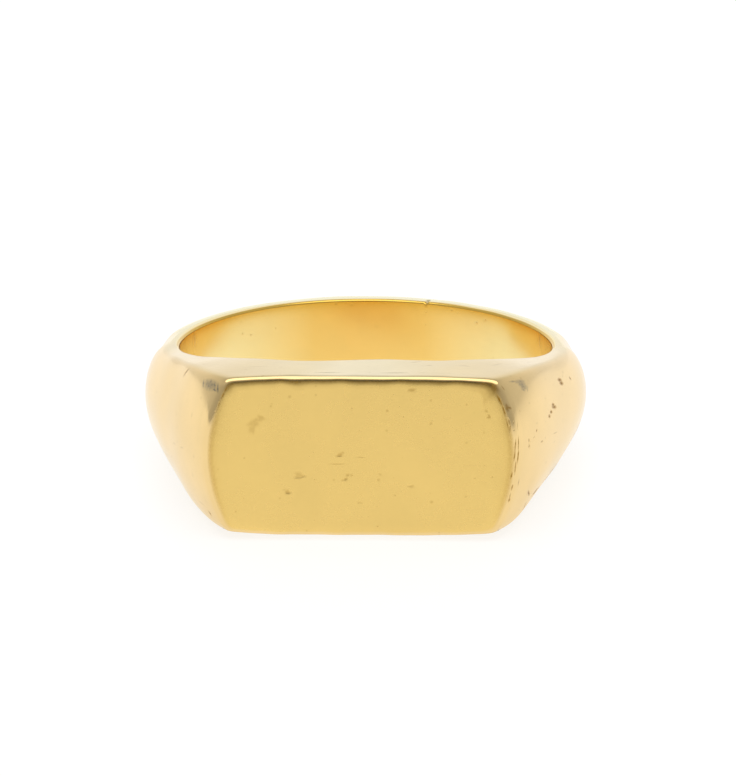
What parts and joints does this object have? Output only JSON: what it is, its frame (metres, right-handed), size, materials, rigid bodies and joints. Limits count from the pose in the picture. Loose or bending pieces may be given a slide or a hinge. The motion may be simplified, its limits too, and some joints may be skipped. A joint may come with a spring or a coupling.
{
  "type": "signet ring",
  "caption": "Signet ring: a flat cushion-shaped table on tapering shoulders, closed by a flat-sided shank around a round finger bore.",
  "frame": {"origin": "middle of the finger bore", "axes": "+Z along the finger, -Y the way the table faces, +X to the wearer's side that is right in the picture"},
  "size_m": [0.0236, 0.0241, 0.0086],
  "materials": {
    "gold_plate_table": "gloss",
    "gold_plate_body": "polished",
    "solder": "gloss"
  },
  "bodies": {
    "root": {"table_plate": "gold_plate_table", "table_solder": "solder", "head": "gold_plate_body", "right_joint_solder": "solder", "left_joint_solder": "solder", "right_shank": "gold_plate_body", "left_shank": "gold_plate_body", "closing_seam_solder": "solder"}
  },
  "joints": []
}
